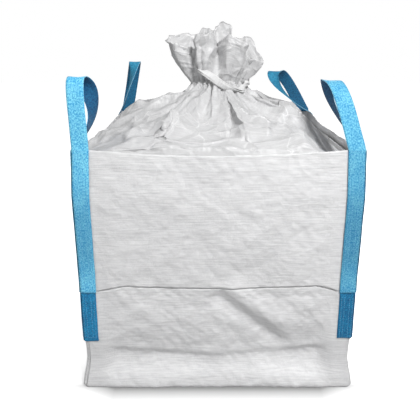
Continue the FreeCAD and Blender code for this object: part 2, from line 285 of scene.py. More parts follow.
def woven_material(name, bright, dull, tape=0.0028, roughness=0.5, rib=0.00035, crinkle=0.0016, film=0.0008,
                   ridge_highlight=0.0):
    """White fabric woven from flat tapes: level ribs, low crinkles, filmy creases, and painted highlights
    whitening the crests of the creases.
    """
    n = Nodes(name)
    uv = n.uv()
    weave = n.add("ShaderNodeTexBrick", Scale=1.0)
    n.link(uv, weave.inputs["Vector"])
    weave.offset = 0.5
    weave.inputs["Color1"].default_value = (1, 1, 1, 1)
    weave.inputs["Color2"].default_value = (0.86, 0.86, 0.86, 1)
    weave.inputs["Mortar"].default_value = (0.35, 0.35, 0.35, 1)
    weave.inputs["Mortar Size"].default_value = tape * 0.10
    weave.inputs["Mortar Smooth"].default_value = 0.6
    weave.inputs["Brick Width"].default_value = tape * 1.9
    weave.inputs["Row Height"].default_value = tape
    ribs = n.noise(n.uv((14, 210, 1)), 1.0, 3.0, 0.6)
    patches = n.noise(n.uv((5, 7, 1)), 1.0, 4.0, 0.6)
    tone = n.math("ADD", n.math("MULTIPLY", ribs, 0.7), n.math("MULTIPLY", patches, 0.3))
    colour = n.ramp(tone, [(0.34, dull), (0.60, bright)])
    colour = n.mix(0.22, colour, weave.outputs["Color"], "MULTIPLY")
    fine = n.noise(n.uv((60, 75, 1)), 1.0, 5.0, 0.6)
    normal = n.bump(weave.outputs["Color"], rib)
    normal = n.bump(ribs, rib * 2.2, 1.0, normal)
    normal = n.bump(fine, crinkle, 1.0, normal)
    bent = n.add("ShaderNodeVectorMath")
    bent.operation = "MULTIPLY_ADD"
    warp = n.add("ShaderNodeTexNoise", Scale=9.0, Detail=2.0)
    n.link(uv, warp.inputs["Vector"])
    n.link(warp.outputs[1], bent.inputs[0])
    bent.inputs[1].default_value = (0.09, 0.09, 0)
    n.link(uv, bent.inputs[2])
    cells = n.add("ShaderNodeTexVoronoi", Scale=15.0)
    cells.feature = "DISTANCE_TO_EDGE"
    n.link(bent.outputs[0], cells.inputs["Vector"])
    crease = n.math("SUBTRACT", 0.22, n.math("MINIMUM", cells.outputs["Distance"], 0.22))
    normal = n.bump(crease, film * 4, 1.0, normal)
    # Painted highlight along the crease crests: the colour is mixed towards white there.
    sharpness = n.math("MULTIPLY", cells.outputs["Distance"], 34.0)
    ridge = n.math("MAXIMUM", n.math("SUBTRACT", 1.0, sharpness), 0.0)
    ridge_highlight_mask = n.math("MULTIPLY", ridge, n.math("MAXIMUM", n.math("SUBTRACT", patches, 0.44), 0.0))
    colour = n.mix(n.math("MULTIPLY", ridge_highlight_mask, ridge_highlight), colour, (1.0, 1.0, 1.0))
    n.link(colour, n.shader.inputs["Base Color"])
    n.link(normal, n.shader.inputs["Normal"])
    rough = n.math("MULTIPLY_ADD", patches, 0.2)
    rough.node.inputs[2].default_value = roughness - 0.1
    n.link(rough, n.shader.inputs["Roughness"])
    n.shader.inputs["Specular IOR Level"].default_value = 0.4
    n.shader.inputs["Sheen Weight"].default_value = 0.08
    return n.material


def webbing_material(name, light, dark):
    """Twill webbing: slanted dotted ribs across its width, uneven dye, darker at mid height, and painted
    shade darkening it towards the bag's right side.
    """
    dots = 0.8
    rib = 0.0004
    n = Nodes(name)
    slant = n.add("ShaderNodeTexWave", Scale=90.0, Distortion=1.4, Detail=2.0)
    slant.inputs["Detail Scale"].default_value = 2.5
    n.link(n.uv((1, 1, 1), 0.62), slant.inputs["Vector"])
    across = n.add("ShaderNodeTexWave", Scale=120.0, Distortion=0.8, Detail=1.5)
    across.bands_direction = "Y"
    n.link(n.uv(), across.inputs["Vector"])
    grain = n.noise(n.uv((230, 170, 1)), 1.0, 1.0, 0.6)
    cloud = n.noise(n.uv((26, 18, 1)), 1.0, 3.0, 0.6)
    tone = n.math("MULTIPLY", slant.outputs[1], across.outputs[1])
    tone = n.math("ADD", n.math("MULTIPLY", tone, 0.30), n.math("MULTIPLY", grain, dots))
    tone = n.math("ADD", tone, n.math("MULTIPLY", cloud, 0.35))
    colour = n.ramp(tone, [(0.50, dark), (0.80, light)])
    spot = n.add("ShaderNodeSeparateXYZ", Vector=n.place())
    # Darker at mid height of the bag, in the band from about 0.5 to 0.64 m, easing back above and below.
    new = (1, 1, 1)
    mid_height_dark = (0.66, 0.72, 0.76)
    mid_height_tone = n.ramp(spot.outputs[2], [(0.40, new), (0.50, mid_height_dark), (0.64, mid_height_dark), (0.76, new)])
    colour = n.mix(1.0, colour, mid_height_tone, "MULTIPLY")
    # Painted shade: the webbing darkens towards the bag's right side.
    painted_shade = n.ramp(n.math("ADD", spot.outputs[0], 0.5), [(0.1, new), (0.9, (0.72, 0.76, 0.78))])
    colour = n.mix(1.0, colour, painted_shade, "MULTIPLY")
    n.link(colour, n.shader.inputs["Base Color"])
    normal = n.bump(slant.outputs[1], rib)
    normal = n.bump(across.outputs[1], rib * 0.8, 1.0, normal)
    normal = n.bump(grain, rib * 0.8, 1.0, normal)
    n.link(normal, n.shader.inputs["Normal"])
    n.shader.inputs["Roughness"].default_value = 0.62
    n.shader.inputs["Specular IOR Level"].default_value = 0.35
    n.shader.inputs["Sheen Weight"].default_value = 0.06
    return n.material


def thread_material(name, colour, dull):
    """Twisted sewing thread."""
    n = Nodes(name)
    twist = n.noise(n.place((900, 900, 900)), 1.0, 2.0)
    n.link(n.ramp(twist, [(0.3, dull), (0.7, colour)]), n.shader.inputs["Base Color"])
    n.link(n.bump(twist, 0.0002), n.shader.inputs["Normal"])
    n.shader.inputs["Roughness"].default_value = 0.6
    return n.material


WALL_CLOTH = woven_material(
    "wall_cloth", (0.85, 0.85, 0.855), (0.68, 0.68, 0.69), roughness=0.44, rib=0.0005)
# The skirt's cloth carries the painted highlight on its crease crests.
SKIRT_CLOTH = woven_material(
    "skirt_cloth", (0.63, 0.63, 0.635), (0.53, 0.53, 0.535),
    tape=0.0024, roughness=0.36, rib=0.0002, crinkle=0.0008, film=0.0022, ridge_highlight=2.4)
TAPE_CLOTH = woven_material(
    "tape_cloth", (0.76, 0.76, 0.76), (0.66, 0.66, 0.66),
    tape=0.0014, roughness=0.6, rib=0.0002, crinkle=0.0004)
BLUE_OUT = webbing_material("webbing_outer", (0.29, 0.82, 1.0), (0.017, 0.32, 0.68))
BLUE_IN = webbing_material("webbing_inner", (0.012, 0.17, 0.36), (0.001, 0.05, 0.15))
BLUE_DEEP = webbing_material("webbing_end", (0.022, 0.36, 0.66), (0.002, 0.095, 0.26))
# Painted highlight: the webbing's selvedges are coloured lighter than its faces.
BLUE_EDGE_HIGHLIGHT = webbing_material("webbing_edge_highlight", (0.50, 0.80, 0.95), (0.22, 0.56, 0.80))
# Rear loops: copies of the webbing colours with painted shade, the outer face darker than the front loops'
# outer face.
BLUE_REAR_SHADE_INNER = webbing_material("webbing_rear_inner_shade", (0.02, 0.22, 0.42), (0.004, 0.08, 0.18))
BLUE_SHADE = webbing_material("webbing_rear", (0.05, 0.42, 0.66), (0.01, 0.16, 0.32))
PALE_THREAD = thread_material("pale_thread", (0.30, 0.64, 0.86), (0.13, 0.42, 0.68))
WHITE_THREAD = thread_material("white_thread", (0.85, 0.86, 0.87), (0.68, 0.70, 0.72))


# ---------------------------------------------------------------- walls

def wall_half(level):
    """Half width of the bag at a level, smooth between the stations."""
    levels, halves = zip(*WALL)
    return np.interp(level, levels, halves)


def rim_drop(along):
    """How far the rim hangs below its corners."""
    return RIM_SAG * (1 - (np.clip(np.abs(along) / HALF_RIM, 0, 1)) ** 2)


# Long diagonal fold under the crease of the front wall: upper end along the wall and up, slope, length.
VALLEY_START = (-0.019, 0.3805)
VALLEY_SLOPE = math.radians(40)
VALLEY_LONG = 0.36


def diagonal_valley(along, level):
    """How far the long fold of the front wall lies in, and the ridge beside it stands out."""
    start_along, start_level = VALLEY_START
    cosine, sine = math.cos(VALLEY_SLOPE), math.sin(VALLEY_SLOPE)
    down = (along - start_along) * cosine + (start_level - level) * sine
    off = -(along - start_along) * sine + (start_level - level) * cosine
    fade = smooth(down / 0.05) * smooth((VALLEY_LONG - down) / 0.10)
    return fade * (0.010 * bump_at(off, -0.040, 0.030) - 0.016 * bump_at(off, 0.012, 0.030))


def wall_relief(side, along, level):
    """How far a wall stands out from its straight profile: crease, slack, soft valleys and crinkles."""
    middle = smooth((0.390 - np.abs(along)) / 0.06)
    beside_strap = smooth((0.394 - np.abs(along)) / 0.012)
    fold = level - crease_line(side, along)
    levels, steps = zip(*CREASE_SHAPE)
    creased = np.interp(fold, levels, steps) * beside_strap
    near_crease = 1 - 0.8 * bump_at(fold, CREASE, 0.018)
    upper = smooth((fold - CREASE) / 0.05)
    lower = 1 - upper
    relief = 0.005 * upper * np.sin(math.pi * np.clip((level - CREASE) / (RIM - CREASE), 0, 1))
    relief += 0.0080 * crumple(along, level * 1.5, 0.30, 10 + side, 3) * near_crease
    relief += 0.0040 * crumple(along, level * 1.2, 0.095, 20 + side, 4) * (0.9 + 0.4 * lower)
    relief += 0.0030 * crumple(along, level * 1.3, 0.040, 30 + side, 3) * (0.8 + 0.4 * lower)
    sharp = 1 - creases(along, level * 1.2, 0.085, 50 + side)
    relief += 0.0022 * sharp * (0.8 + 0.3 * lower) * near_crease
    # Fold over the foot, lowest in the middle of the wall, and the slack cloth above it.
    line = 0.112 + 0.085 * np.abs(along)
    dent = smooth((line + 0.020 - level) / 0.034) * smooth((level - 0.015) / 0.075)
    relief -= 0.0135 * dent * (1 - 0.5 * bump_at(along, 0.05, 0.13))
    belly = smooth((0.34 - level) / 0.20) * smooth((level - 0.02) / 0.09)
    relief -= (0.013 + 0.011 * smooth((along + 0.05) / 0.25)) * belly
    if side == 0:
        relief += diagonal_valley(along, level)
    return relief * middle + creased


def crease_line(side, along):
    """How far the storage crease of a wall lies over its lowest place, at the straps."""
    mirrored = along if side % 2 == 0 else -along
    places, rises = zip(*CREASE_RISE)
    return np.interp(mirrored, places, rises)


def on_wall(side, along, level, out=0.0):
    """Points of a wall's outer face, moved out by a distance, for arrays of places along it and levels."""
    half = wall_half(level)
    depth = half + wall_relief(side, along, level) + out
    across = along * half / HALF_RIM
    return turned(side, across, -depth, level)


def turned(side, x, y, z):
    """Points drawn for the front wall, carried round to another side."""
    turn = side * math.pi / 2
    cosine, sine = math.cos(turn), math.sin(turn)
    return np.stack([x * cosine - y * sine, x * sine + y * cosine, z], -1)


def make_walls():
    """One continuous shell: four walls round the corners, hemmed rim, crease, rounded foot and base."""
    per_side, corner_steps = 140, 6
    flat = HALF_RIM - CORNER_ROUND
    fractions = np.union1d(np.linspace(0, 1, 150), np.linspace(0.415, 0.485, 55))[::-1]
    rows = len(fractions)
    columns = []
    lengths = []
    for side in range(4):
        along = np.linspace(-flat, flat, per_side)[None, :].repeat(rows, 0)
        level = fractions[:, None] * (RIM - rim_drop(along))
        hem = HEM_THICK * smooth((level - (RIM - rim_drop(along) - HEM_DEEP)) / 0.0025)
        face = on_wall(side, along, level, hem)
        columns.append(face)
        lengths += list(side * 2 * HALF_RIM + np.linspace(-flat, flat, per_side))
        level = fractions * RIM
        half = wall_half(level)
        start = half * flat / HALF_RIM
        round_off = half - start
        for step in range(1, corner_steps):
            bend = step / corner_steps * math.pi / 2
            x = start + round_off * math.sin(bend)
            y = -(start + round_off * math.cos(bend))
            columns.append(turned(side, x, y, level)[:, None, :])
            lengths.append(side * 2 * HALF_RIM + flat + 2 * CORNER_ROUND * step / corner_steps)
    sheet_points = np.concatenate(columns, 1)
    around = sheet_points.shape[1]
    uvs = np.stack([np.array(lengths)[None, :].repeat(rows, 0), sheet_points[:, :, 2]], -1)
    foot = sheet_points[-1]
    rings = [sheet_points]
    ring_uvs = [uvs]
    for scale in (0.992, 0.97, 0.7, 0.35, 0.02):
        ring = foot * np.array([scale, scale, 0]) + np.array([0, 0, 0.0012])
        rings.append(ring[None])
        ring_uvs.append(ring[None, :, :2])
    points = np.concatenate(rings, 0).reshape(-1, 3)
    faces = grid_faces(rows + 5, around, closed=True)
    walls = make_object("bag_walls", points, faces, np.concatenate(ring_uvs, 0).reshape(-1, 2),
                        materials=[WALL_CLOTH])
    solidify(walls, WALL_THICK, 1.0)
    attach(walls, "bag")
    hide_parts("front_panel", "rear_panel", "left_panel", "right_panel", "base_panel")


# ---------------------------------------------------------------- webbing

# Free loops: corner of the bag, height over the rim, lean of the top, bow of the middle towards the bag,
# how late along the loop it bows, and the stretch of the loop over which the webbing twists.
LOOPS = {
    "front_left": {
        "corner": (-1, -1), "height": 0.209, "lean": (-0.002, 0.002), "bow": (0.054, 0.060),
        "late": 4.0, "twist": (0.60, 1.0)},
    "front_right": {
        "corner": (1, -1), "height": 0.192, "lean": (-0.047, 0.044), "bow": (0.042, 0.126),
        "late": 2.5, "twist": (0.34, 0.96)},
    "rear_left": {
        "corner": (-1, 1), "height": 0.228, "lean": (0.050, -0.010), "bow": (0.034, 0.084),
        "late": 2.4, "twist": (0.40, 1.0)},
    "rear_right": {
        "corner": (1, 1), "height": 0.184, "lean": (-0.086, 0.036), "bow": (0.104, 0.076),
        "late": 2.3, "twist": (0.58, 1.0)},
}
# How squarely a loop rises and falls: 2 is a parabola, more is squarer.
LOOP_FULLNESS = 2.2
SIDE_OF = {(0, -1): "front", (0, 1): "rear", (-1, 0): "left", (1, 0): "right"}


def ease(value):
    """Soft step from 0 to 1, for a single number."""
    return float(smooth(value))


def loop_middle(loop, along):
    """Middle of the webbing along the free loop, 0 at the front or rear wall and 1 at the side wall."""
    sign_x, sign_y = loop["corner"]
    on_face = HALF_RIM + STRAP_THICK / 2
    inboard = HALF_RIM - STRAP_WIDE / 2
    first = Vector((sign_x * inboard, sign_y * on_face, 0))
    second = Vector((sign_x * on_face, sign_y * inboard, 0))
    rise = 1 - abs(2 * along - 1) ** LOOP_FULLNESS
    place = first + (second - first) * ease(along)
    swing = max(math.sin(math.pi * along ** loop["late"]), 0.0) ** 0.7
    place -= Vector((sign_x * loop["bow"][0], sign_y * loop["bow"][1], 0)) * swing
    place += Vector((loop["lean"][0], loop["lean"][1], 0)) * rise ** 0.9
    place.z = RIM + (loop["height"] - STRAP_THICK) * rise
    return place


def sewn_leg(loop, leg, levels, out):
    """Route of webbing sewn beside its corner: leg 0 on the front or rear wall, 1 on the side wall."""
    sign_x, sign_y = loop["corner"]
    route = []
    for level in levels:
        half = float(wall_half(level))
        inboard, face = half - INBOARD, half + out
        if leg == 0:
            route.append((Vector((sign_x * inboard, sign_y * face, level)), Vector((sign_x, 0, 0))))
        else:
            route.append((Vector((sign_x * face, sign_y * inboard, level)), Vector((0, sign_y, 0))))
    return route


def strap_route(loop):
    """(middle, direction towards the corner's edge) along the whole strap: wall, loop and next wall."""
    sign_x, sign_y = loop["corner"]
    levels = np.linspace(CREASE + 0.004, RIM - 0.006, 96)
    route = sewn_leg(loop, 0, levels, STRAP_OUT)
    for along in np.linspace(0.004, 0.996, 90):
        start, end = loop["twist"]
        twist = math.pi / 2 * ease((along - start) / (end - start))
        across = Vector((sign_x * math.cos(twist), sign_y * math.sin(twist), 0))
        route.append((loop_middle(loop, along), across))
    return route + sewn_leg(loop, 1, levels[::-1], STRAP_OUT)


def ribbon(name, route, outward, wide=STRAP_WIDE, thick=STRAP_THICK, seed=1, materials=(), cup=0.0006):
    """Flat webbing swept along a route, with rounded selvedges, outer face, inner face and edges apart."""
    draw = np.random.default_rng(seed)
    phases = draw.uniform(0, 6.28, 4)
    steps = 9
    points, uvs, slots = [], [], []
    length = 0.0
    count = len(route)
    for index, (middle, across) in enumerate(route):
        ahead = route[min(index + 1, count - 1)][0]
        behind = route[max(index - 1, 0)][0]
        tangent = (ahead - behind).normalized()
        across = (across - tangent * across.dot(tangent)).normalized()
        normal = tangent.cross(across) * outward
        length += (middle - behind).length
        sway = 0.0005 * math.sin(length * 31 + phases[0]) + 0.0004 * math.sin(length * 67 + phases[1])
        half_wide = wide / 2 * (1 + 0.008 * math.sin(length * 43 + phases[2]))
        for face in (1, -1):
            for step in range(steps):
                part = (step / (steps - 1)) * 2 - 1
                part *= face
                depth = thick / 2 * (1 if abs(part) < 0.99 else 0.55)
                curl = cup * (part * part) + sway * math.cos(part * 2)
                points.append(middle + across * (half_wide * part) + normal * (face * depth + curl))
                uvs.append((half_wide * (part + 1), length))
    ring = steps * 2
    faces = grid_faces(count, ring, closed=True)
    for _ in range(count - 1):
        slots += [0] * (steps - 1) + [2] + [1] * (steps - 1) + [2]
    faces.append(tuple(range(ring))[::-1])
    faces.append(tuple(range((count - 1) * ring, count * ring)))
    slots += [2, 2]
    item = make_object(name, points, faces, uvs, slots, materials)
    bm = bmesh.new()
    bm.from_mesh(item.data)
    bmesh.ops.recalc_face_normals(bm, faces=bm.faces)
    bm.to_mesh(item.data)
    bm.free()
    return item


def make_straps():
    """Lifting loop with its two legs sewn down to the crease, and the darker strap ends below it."""
    for number, (name, loop) in enumerate(LOOPS.items()):
        sign_x, sign_y = loop["corner"]
        outward = sign_x * sign_y
        # Front loops show the plain webbing; the rear loops get the copies with painted shade.
        faces = [BLUE_OUT, BLUE_IN] if sign_y < 0 else [BLUE_SHADE, BLUE_REAR_SHADE_INNER]
        strap = ribbon(f"strap_{name}", strap_route(loop), outward, seed=number + 3,
                       materials=[*faces, BLUE_EDGE_HIGHLIGHT])
        near, side = SIDE_OF[(0, sign_y)], SIDE_OF[(sign_x, 0)]
        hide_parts(f"lifting_loop_{name}", f"loop_bend_{name}",
                    f"{near}_strap_{name}", f"{side}_strap_{name}")
        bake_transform(strap)
        lowest = STRAP_END - (DARK_LONGER_ON_LEFT if sign_x < 0 else 0.0)
        for leg, wall in ((0, near), (1, side)):
            route = sewn_leg(loop, leg, np.linspace(lowest, CREASE + 0.010, 40), DARK_OUT)
            turn = outward if leg == 0 else -outward
            end = ribbon(f"strap_end_{wall}_{name}", route, turn, DARK_WIDE, seed=number * 2 + leg + 11,
                         materials=[BLUE_DEEP, BLUE_IN, BLUE_DEEP])
            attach(end, "bag")
            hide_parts(f"{wall}_strap_end_{name}")


# ---------------------------------------------------------------- stitching

THREAD_RADIUS = 0.0005
STITCH_LONG = 0.0052
STITCH_GAP = 0.0018
HEM_SEAM_DROP = 0.047
FOOT_SEAM_LEVEL = 0.041
CORNER_ROWS = (-0.431, -0.415, 0.415, 0.431)
STRAP_ROWS = (0.06, 0.30, 0.70, 0.94)
STRAP_INNER_ROW = 0.398
STRAP_OUTER_ROW = 0.440


def stitches(name, runs, material):
    """Rows of thread stitches along runs of (point, outward normal) pairs, as one mesh of spindles."""
    points, faces = [], []
    for run in runs:
        places = np.array([p for p, _ in run])
        normals = np.array([q for _, q in run])
        steps = np.linalg.norm(np.diff(places, axis=0), axis=1)
        along = np.concatenate([[0], np.cumsum(steps)])
        at = 0.001
        while at + STITCH_LONG < along[-1]:
            ends = []
            for spot in (at, at + STITCH_LONG):
                ends.append(np.array([np.interp(spot, along, places[:, axis]) for axis in range(3)]))
            out = np.array([np.interp(at, along, normals[:, axis]) for axis in range(3)])
            out /= np.linalg.norm(out)
            middle = (ends[0] + ends[1]) / 2 + out * THREAD_RADIUS * 1.5
            side = np.cross(ends[1] - ends[0], out)
            side = side / np.linalg.norm(side) * THREAD_RADIUS * 1.3
            start = len(points)
            points.append(ends[0])
            for turn in range(6):
                angle = turn * math.pi / 3
                points.append(middle + side * math.cos(angle) + out * (THREAD_RADIUS * math.sin(angle)))
            points.append(ends[1])
            for turn in range(6):
                after = (turn + 1) % 6
                faces.append((start, start + 1 + turn, start + 1 + after))
                faces.append((start + 7, start + 1 + after, start + 1 + turn))
            at += STITCH_LONG + STITCH_GAP
    item = make_object(name, points, faces, materials=[material])
    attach(item, "bag")
    return item


def wall_run(side, along, level, out=0.0):
    """A run of places on a wall, with the wall's outward direction."""
    along, level = np.broadcast_arrays(np.asarray(along, float), np.asarray(level, float))
    places = on_wall(side, along, level, out)
    outward = turned(side, np.zeros_like(along), -np.ones_like(along), np.zeros_like(along))
    return list(zip(places, outward))


def make_stitching():
    """Seams: hem under the rim, foot seam, corner rows, and the rows that hold the straps."""
    names = ["front", "right", "rear", "left"]
    span = np.linspace(-0.386, 0.386, 200)
    for side, name in enumerate(names):
        top = RIM - rim_drop(span)
        hem_run = wall_run(side, span, top - HEM_SEAM_DROP, 0.0030)
        hem = stitches(f"hem_seam_{name}", [hem_run], WHITE_THREAD)
        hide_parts(f"rim_stitching_{name}")
        wide_span = np.linspace(-0.436, 0.436, 240)
        foot_run = wall_run(side, wide_span, FOOT_SEAM_LEVEL + 0 * wide_span, 0.0016)
        foot = stitches(f"foot_seam_{name}", [foot_run], WHITE_THREAD)
        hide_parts(f"base_stitching_{name}")
        rise = np.linspace(0.046, STRAP_END - 0.003, 60)
        rows = []
        for along in CORNER_ROWS:
            rows.append(wall_run(side, along + 0 * rise, rise, 0.0017))
        corner = stitches(f"corner_seam_{name}", rows, WHITE_THREAD)
        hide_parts(f"corner_stitching_{name}")
        low, high = CREASE + 0.016, RIM - 0.012
        for end in (-1, 1):
            rows = []
            up = np.linspace(low, high, 160)
            down = np.linspace(STRAP_END + 0.004, CREASE - 0.006, 60)
            for part in STRAP_ROWS:
                along = end * (STRAP_INNER_ROW + (STRAP_OUTER_ROW - STRAP_INNER_ROW) * part)
                rows.append(strap_run(side, along, up))
                rows.append(strap_run(side, along, down))
            for level in (high + 0.004, high - 0.006, low + 0.004, low - 0.004, STRAP_END + 0.004):
                bar = end * np.linspace(STRAP_INNER_ROW, STRAP_OUTER_ROW, 20)
                rows.append(strap_run(side, bar, level + 0 * bar))
            label = corner_label(side, end)
            seam = stitches(f"strap_seam_{name}_{label}", rows, PALE_THREAD)
            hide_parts(f"{name}_strap_stitching_{label}")


def strap_run(side, along, level):
    """A run of places on the outer face of the webbing beside a corner."""
    along, level = np.broadcast_arrays(np.asarray(along, float), np.asarray(level, float))
    half = wall_half(level)
    places = turned(side, along + np.sign(along) * (half - HALF_RIM), -(half + 0.0050), level)
    outward = turned(side, np.zeros_like(along), -np.ones_like(along), np.zeros_like(along))
    return list(zip(places, outward))


def corner_label(side, end):
    """Name of the corner at the low (-1) or high (1) end of a side: front, right, rear, left."""
    return {
        (0, -1): "front_left", (0, 1): "front_right", (1, -1): "front_right", (1, 1): "rear_right",
        (2, -1): "rear_right", (2, 1): "rear_left", (3, -1): "rear_left", (3, 1): "front_left",
    }[(side, end)]


# ---------------------------------------------------------------- gathered top

# Half width, squareness and height of the skirt from its seam inside the rim to the neck.
SKIRT = [
    (0.4410, 16.0, 0.800), (0.4365, 13.0, 0.828), (0.4270, 8.0, 0.852), (0.3930, 4.6, 0.888),
    (0.3300, 3.2, 0.928), (0.2150, 2.5, 0.964), (0.1300, 2.1, 0.982), (0.0930, 2.0, 1.000),
    (0.0800, 2.0, 1.022),
]
# Long folds of the front of the skirt: start and end in plan, half width, and height (down where negative).
SKIRT_FOLDS = [
    ((0.045, -0.120), (0.030, -0.400), 0.048, -0.017),
    ((-0.070, -0.080), (-0.350, -0.210), 0.045, 0.016),
    ((-0.040, -0.100), (-0.210, -0.370), 0.040, 0.014),
    ((0.090, -0.080), (0.340, -0.240), 0.045, 0.018),
    ((0.130, -0.160), (0.170, -0.400), 0.038, 0.012),
    ((0.130, -0.120), (0.280, -0.340), 0.030, -0.010),
    ((-0.100, -0.130), (-0.300, -0.330), 0.028, -0.012),
]
SKIRT_AROUND = 340
SKIRT_ROWS = 84
# Size of the skirt's folds: pleats round the neck, long folds below it, and soft lumps.
PLEATS = 19
PLEAT_HIGH = 0.012
LONG_FOLD_DEEP = 0.030
LUMPS = 26
LUMP_HIGH = 0.008
# Radii that give the cloth's own coordinates their length round the skirt and the tuft.
SKIRT_CLOTH_RADIUS = 0.45
TUFT_CLOTH_RADIUS = 0.14


def drape(item, weights, excess, frames, weight_pull):
    """Let slack cloth buckle between its held edges, and keep the result in the mesh."""
    held = item.vertex_groups.new(name="held")
    for row, weight in enumerate(weights):
        if weight > 0.001:
            held.add(list(range(row * SKIRT_AROUND, (row + 1) * SKIRT_AROUND)), float(weight), "REPLACE")
    cloth = item.modifiers.new("drape", "CLOTH")
    fabric = cloth.settings
    fabric.quality = 4
    fabric.mass = 0.05
    fabric.tension_stiffness = 15
    fabric.compression_stiffness = 15
    fabric.shear_stiffness = 15
    fabric.bending_stiffness = 0.04
    fabric.tension_damping = 10
    fabric.compression_damping = 10
    fabric.shear_damping = 10
    fabric.bending_damping = 0.5
    fabric.air_damping = 2
    fabric.vertex_group_mass = "held"
    fabric.shrink_min = -excess
    fabric.effector_weights.gravity = weight_pull
    cloth.collision_settings.use_collision = False
    cloth.point_cache.frame_start = 1
    cloth.point_cache.frame_end = frames
    scene = bpy.context.scene
    for frame_number in range(1, frames + 1):
        scene.frame_set(frame_number)
    settled = item.evaluated_get(bpy.context.evaluated_depsgraph_get())
    places = np.empty(len(item.data.vertices) * 3)
    settled.data.vertices.foreach_get("co", places)
    item.modifiers.remove(cloth)
    item.vertex_groups.remove(held)
    item.data.vertices.foreach_set("co", places)
    item.data.update()
    scene.frame_set(1)


def refine(item):
    """One level of subdivision, kept in the mesh."""
    item.modifiers.new("finer", "SUBSURF")
    finer = bpy.data.meshes.new_from_object(item.evaluated_get(bpy.context.evaluated_depsgraph_get()))
    item.modifiers.clear()
    old = item.data
    item.data = finer
    bpy.data.meshes.remove(old)
    item.data.polygons.foreach_set("use_smooth", np.ones(len(item.data.polygons), bool))


def crinkle(item, heights):
    """Move every vertex along its normal; heights is a function of the vertices' places."""
    mesh = item.data
    places = np.empty(len(mesh.vertices) * 3)
    normals = np.empty(len(mesh.vertices) * 3)
    mesh.vertices.foreach_get("co", places)
    mesh.vertices.foreach_get("normal", normals)
    places = places.reshape(-1, 3)
    normals = normals.reshape(-1, 3)
    places = places + normals * heights(places)[:, None]
    mesh.vertices.foreach_set("co", places.ravel())
    mesh.update()


def skirt_crinkles(places):
    """Sharp small creases over the draped skirt, none at the seam or under the tie."""
    x, y, z = places.T
    open_part = smooth((z - 0.850) / 0.03) * smooth((np.hypot(x, y) - 0.12) / 0.07)
    height = 0.005 - 0.0300 * creases(1.3 * x, 0.8 * (y + 0.8 * z), 0.190, 41)
    height -= 0.0050 * creases(x + 0.5 * z, y, 0.060, 42)
    height += 0.0016 * crumple(x, y + 0.5 * z, 0.060, 43, 3)
    for (start_x, start_y), (end_x, end_y), width, rise in SKIRT_FOLDS:
        span = math.hypot(end_x - start_x, end_y - start_y)
        lead_x, lead_y = (end_x - start_x) / span, (end_y - start_y) / span
        along = (x - start_x) * lead_x + (y - start_y) * lead_y
        nearest = np.clip(along, 0, span)
        off = np.hypot(x - start_x - nearest * lead_x, y - start_y - nearest * lead_y)
        fade = smooth(along / 0.09) * smooth((span - along) / 0.09)
        height += rise * np.clip(1 - off / width, 0, 1) * fade
    return height * open_part


def make_skirt():
    """Thin cloth from the seam inside the rim up to the tied neck, buckled into folds."""
    halves, squares, levels = (np.array(part) for part in zip(*SKIRT))
    order = np.arange(len(SKIRT))
    place = np.linspace(0, len(SKIRT) - 1, SKIRT_ROWS)
    half = np.interp(place, order, halves)[:, None]
    square = np.interp(place, order, squares)[:, None]
    level = np.interp(place, order, levels)[:, None]
    station = place[:, None]
    angle = np.linspace(0, 2 * math.pi, SKIRT_AROUND, endpoint=False)[None, :]
    cosine, sine = np.cos(angle), np.sin(angle)
    reach = half / (np.abs(cosine) ** square + np.abs(sine) ** square) ** (1 / square)
    x, y = reach * cosine, reach * sine
    neck = smooth((station - 4.0) / 3.5)
    inward = smooth((station - 1.0) / 1.5)
    uneven = 1.8 * np.sin(angle * 3) + 1.2 * np.sin(angle * 7 + 1)
    pleats = np.abs(np.sin((angle * PLEATS + uneven) / 2)) * 2 - 1
    lumps = np.zeros_like(x)
    draw = np.random.default_rng(12)
    for _ in range(LUMPS):
        turn, width, phase = draw.uniform((0, 14, 0), (math.pi, 60, 6.28))
        lumps += np.sin((x * math.cos(turn) + y * math.sin(turn)) * width + phase) * 6 / width
    z = level + inward * (1 - neck) * LUMP_HIGH * lumps + PLEAT_HIGH * neck * pleats * smooth(8 - station)
    folds = np.abs(np.sin(angle * 4.5 + 0.9 * np.sin(angle * 2 + 0.7) + 0.5 * np.sin(angle * 5 + 2))) - 0.6
    z = z - LONG_FOLD_DEEP * folds * smooth((station - 2.0) / 2.0) * smooth((7.0 - station) / 1.5)
    # The cloth lies low at its right edge, and a little at its left edge.
    hollow = 0.050 * smooth((x - 0.26) / 0.15) + 0.008 * smooth((-x - 0.32) / 0.10)
    z = z - hollow * smooth(station / 1.5)
    spread = 1 + 0.05 * neck * pleats
    points = np.stack([x * spread, y * spread, z], -1).reshape(-1, 3)
    arc = np.concatenate([[0], np.cumsum(np.hypot(np.diff(half[:, 0]), np.diff(level[:, 0])))])
    uvs = np.stack([angle * SKIRT_CLOTH_RADIUS + 0 * half, arc[:, None] + 0 * angle], -1).reshape(-1, 2)
    faces = grid_faces(SKIRT_ROWS, SKIRT_AROUND, True)
    skirt = make_object("skirt", points, faces, uvs, materials=[SKIRT_CLOTH])
    weights = np.maximum(1 - smooth((place - 1.2) / 0.6), smooth((place - 7.2) / 0.5))
    drape(skirt, weights, 0.035, 22, 0.15)
    refine(skirt)
    crinkle(skirt, skirt_crinkles)
    solidify(skirt, SKIRT_THICK, 0.0)
    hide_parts("top_skirt")
    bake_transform(skirt)


